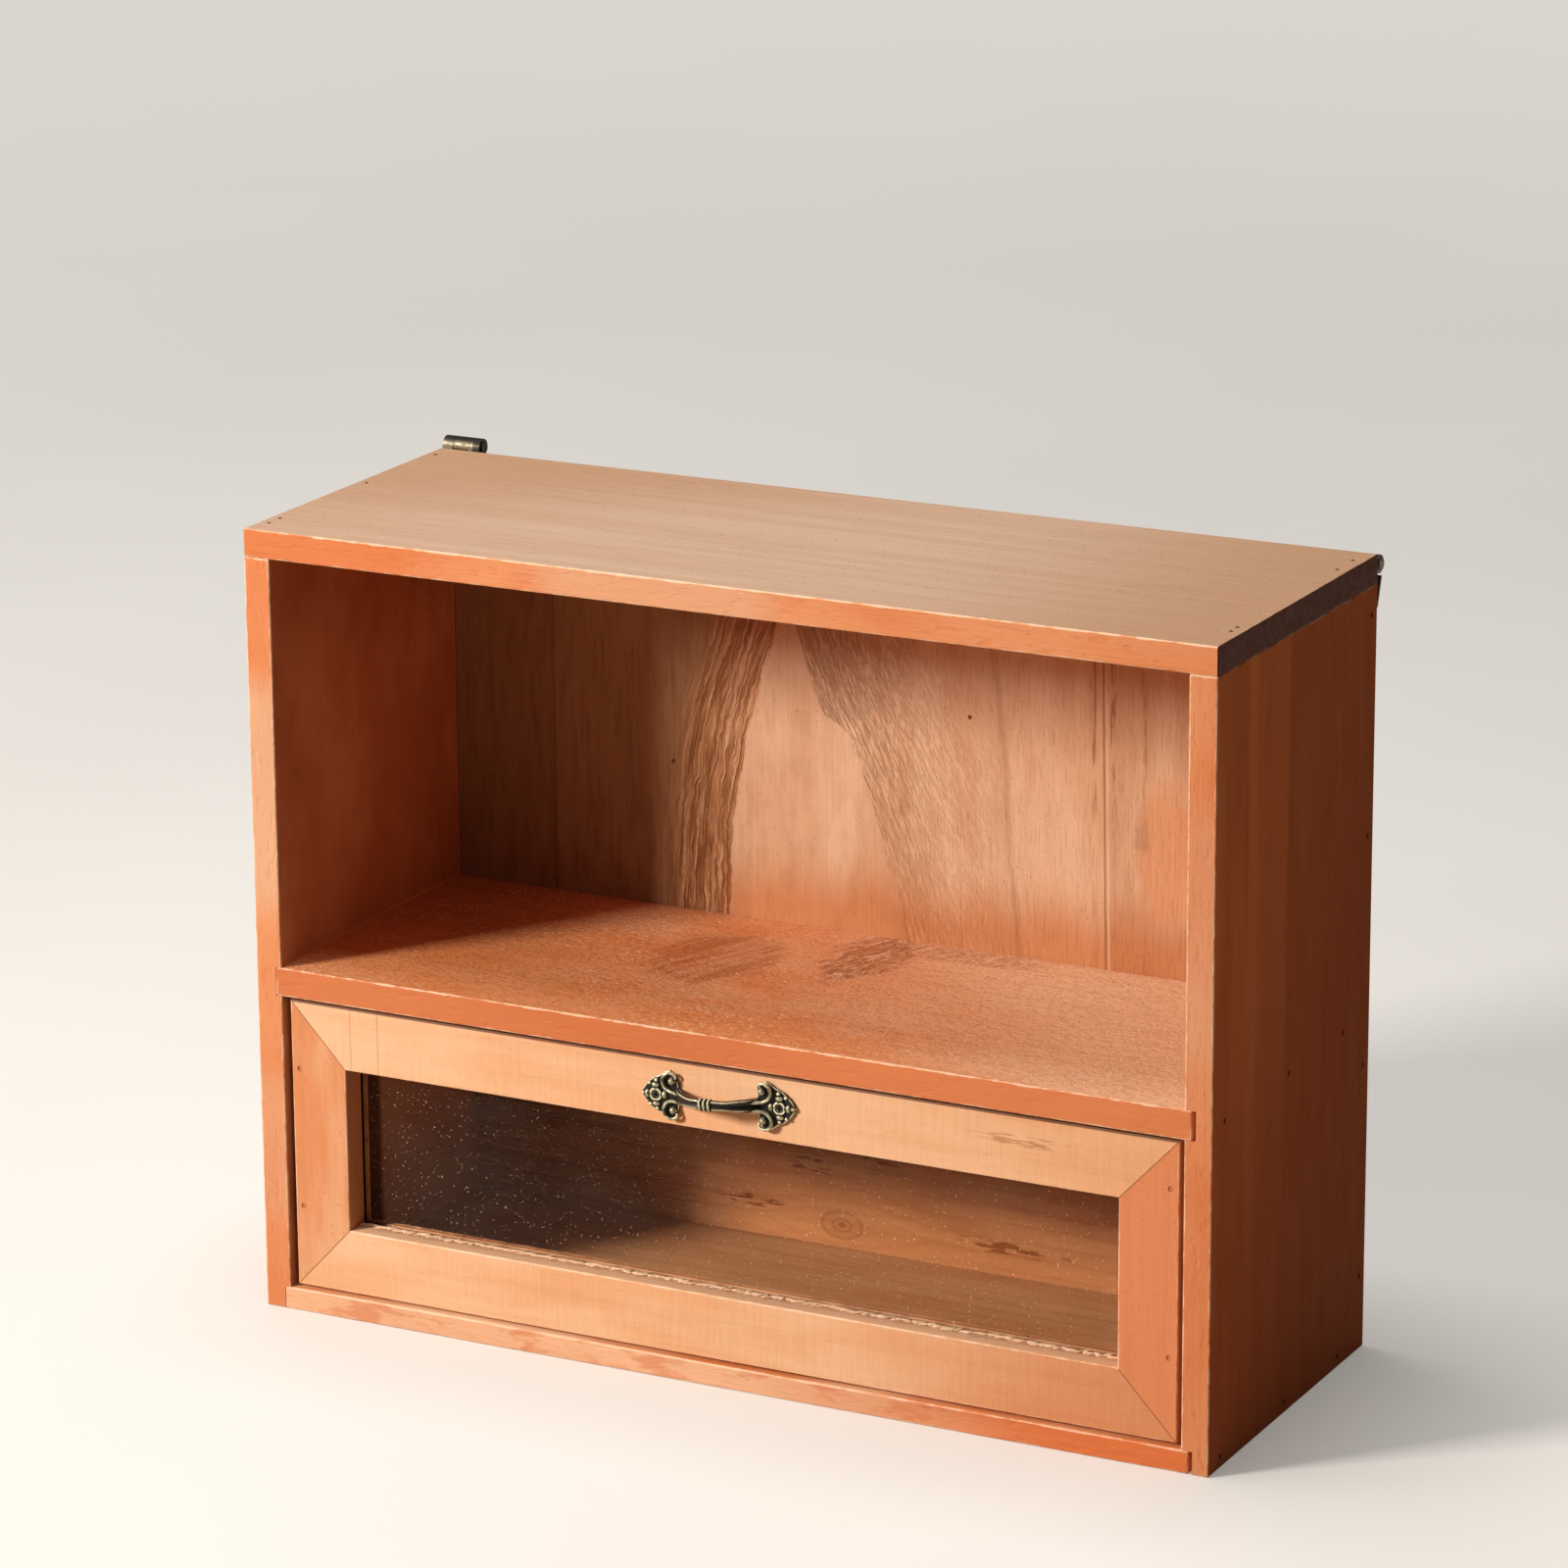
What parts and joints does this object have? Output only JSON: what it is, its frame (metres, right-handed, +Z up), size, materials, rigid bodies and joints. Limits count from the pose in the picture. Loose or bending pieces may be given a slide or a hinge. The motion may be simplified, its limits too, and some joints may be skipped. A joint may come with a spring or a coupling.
{
  "type": "desktop storage box with drawer",
  "caption": "Small wooden desktop cabinet: an open compartment above a glass-fronted drawer with a cast bow handle, and hinged hanging ears at the back.",
  "frame": {"origin": "centre of the cabinet's footprint, on the surface it stands on", "axes": "+X to the right along the cabinet's width, +Y to the back, +Z up"},
  "size_m": [0.4, 0.1669, 0.3165],
  "materials": {
    "carcass_wood": "stained, satin",
    "drawer_front_wood": "stained, satin, sawn texture",
    "drawer_box_wood": "light stain, matt",
    "pane_glass": "clear, polished",
    "antique_bronze": "dark antique, rubbed bright on the ridges",
    "antique_brass": "antique",
    "nail_steel": "dull"
  },
  "bodies": {
    "cabinet": {"top_board": "carcass_wood", "left_side": "carcass_wood", "right_side": "carcass_wood", "bottom_board": "carcass_wood", "shelf_board": "carcass_wood", "back_panel": "carcass_wood", "top_nails": "nail_steel", "shelf_nails": "nail_steel", "bottom_nails": "nail_steel", "back_nails": "nail_steel", "left_ear_fixed_leaf": "antique_brass", "right_ear_fixed_leaf": "antique_brass", "left_ear_pin": "antique_brass", "right_ear_pin": "antique_brass", "ear_screws": "antique_brass"},
    "drawer": {"drawer_top_rail": "drawer_front_wood", "drawer_bottom_rail": "drawer_front_wood", "drawer_left_stile": "drawer_front_wood", "drawer_right_stile": "drawer_front_wood", "glass_pane": "pane_glass", "glazing_strip_top": "drawer_box_wood", "glazing_strip_bottom": "drawer_box_wood", "glazing_strip_left": "drawer_box_wood", "glazing_strip_right": "drawer_box_wood", "glazing_pins": "nail_steel", "drawer_left_side": "drawer_box_wood", "drawer_right_side": "drawer_box_wood", "drawer_back": "drawer_box_wood", "drawer_bottom": "drawer_box_wood", "handle": "antique_bronze", "handle_screws": "antique_bronze", "drawer_front_nails": "nail_steel", "drawer_back_nails": "nail_steel", "drawer_floor_nails": "nail_steel"},
    "left_ear": {"left_ear_free_leaf": "antique_brass"},
    "right_ear": {"right_ear_free_leaf": "antique_brass"}
  },
  "joints": [
    {"name": "drawer_slide", "type": "slide", "parent": "cabinet", "child": "drawer", "axis": [0, -1, 0], "range_m": [0, 0.1]},
    {"name": "left_ear_swing", "type": "hinge", "parent": "cabinet", "child": "left_ear", "pos_m": [-0.19095, 0.0778, 0.313], "axis": [1, 0, 0], "range_deg": [0, 180]},
    {"name": "right_ear_swing", "type": "hinge", "parent": "cabinet", "child": "right_ear", "pos_m": [0.19095, 0.0778, 0.3072], "axis": [1, 0, 0], "range_deg": [0, 180]}
  ]
}
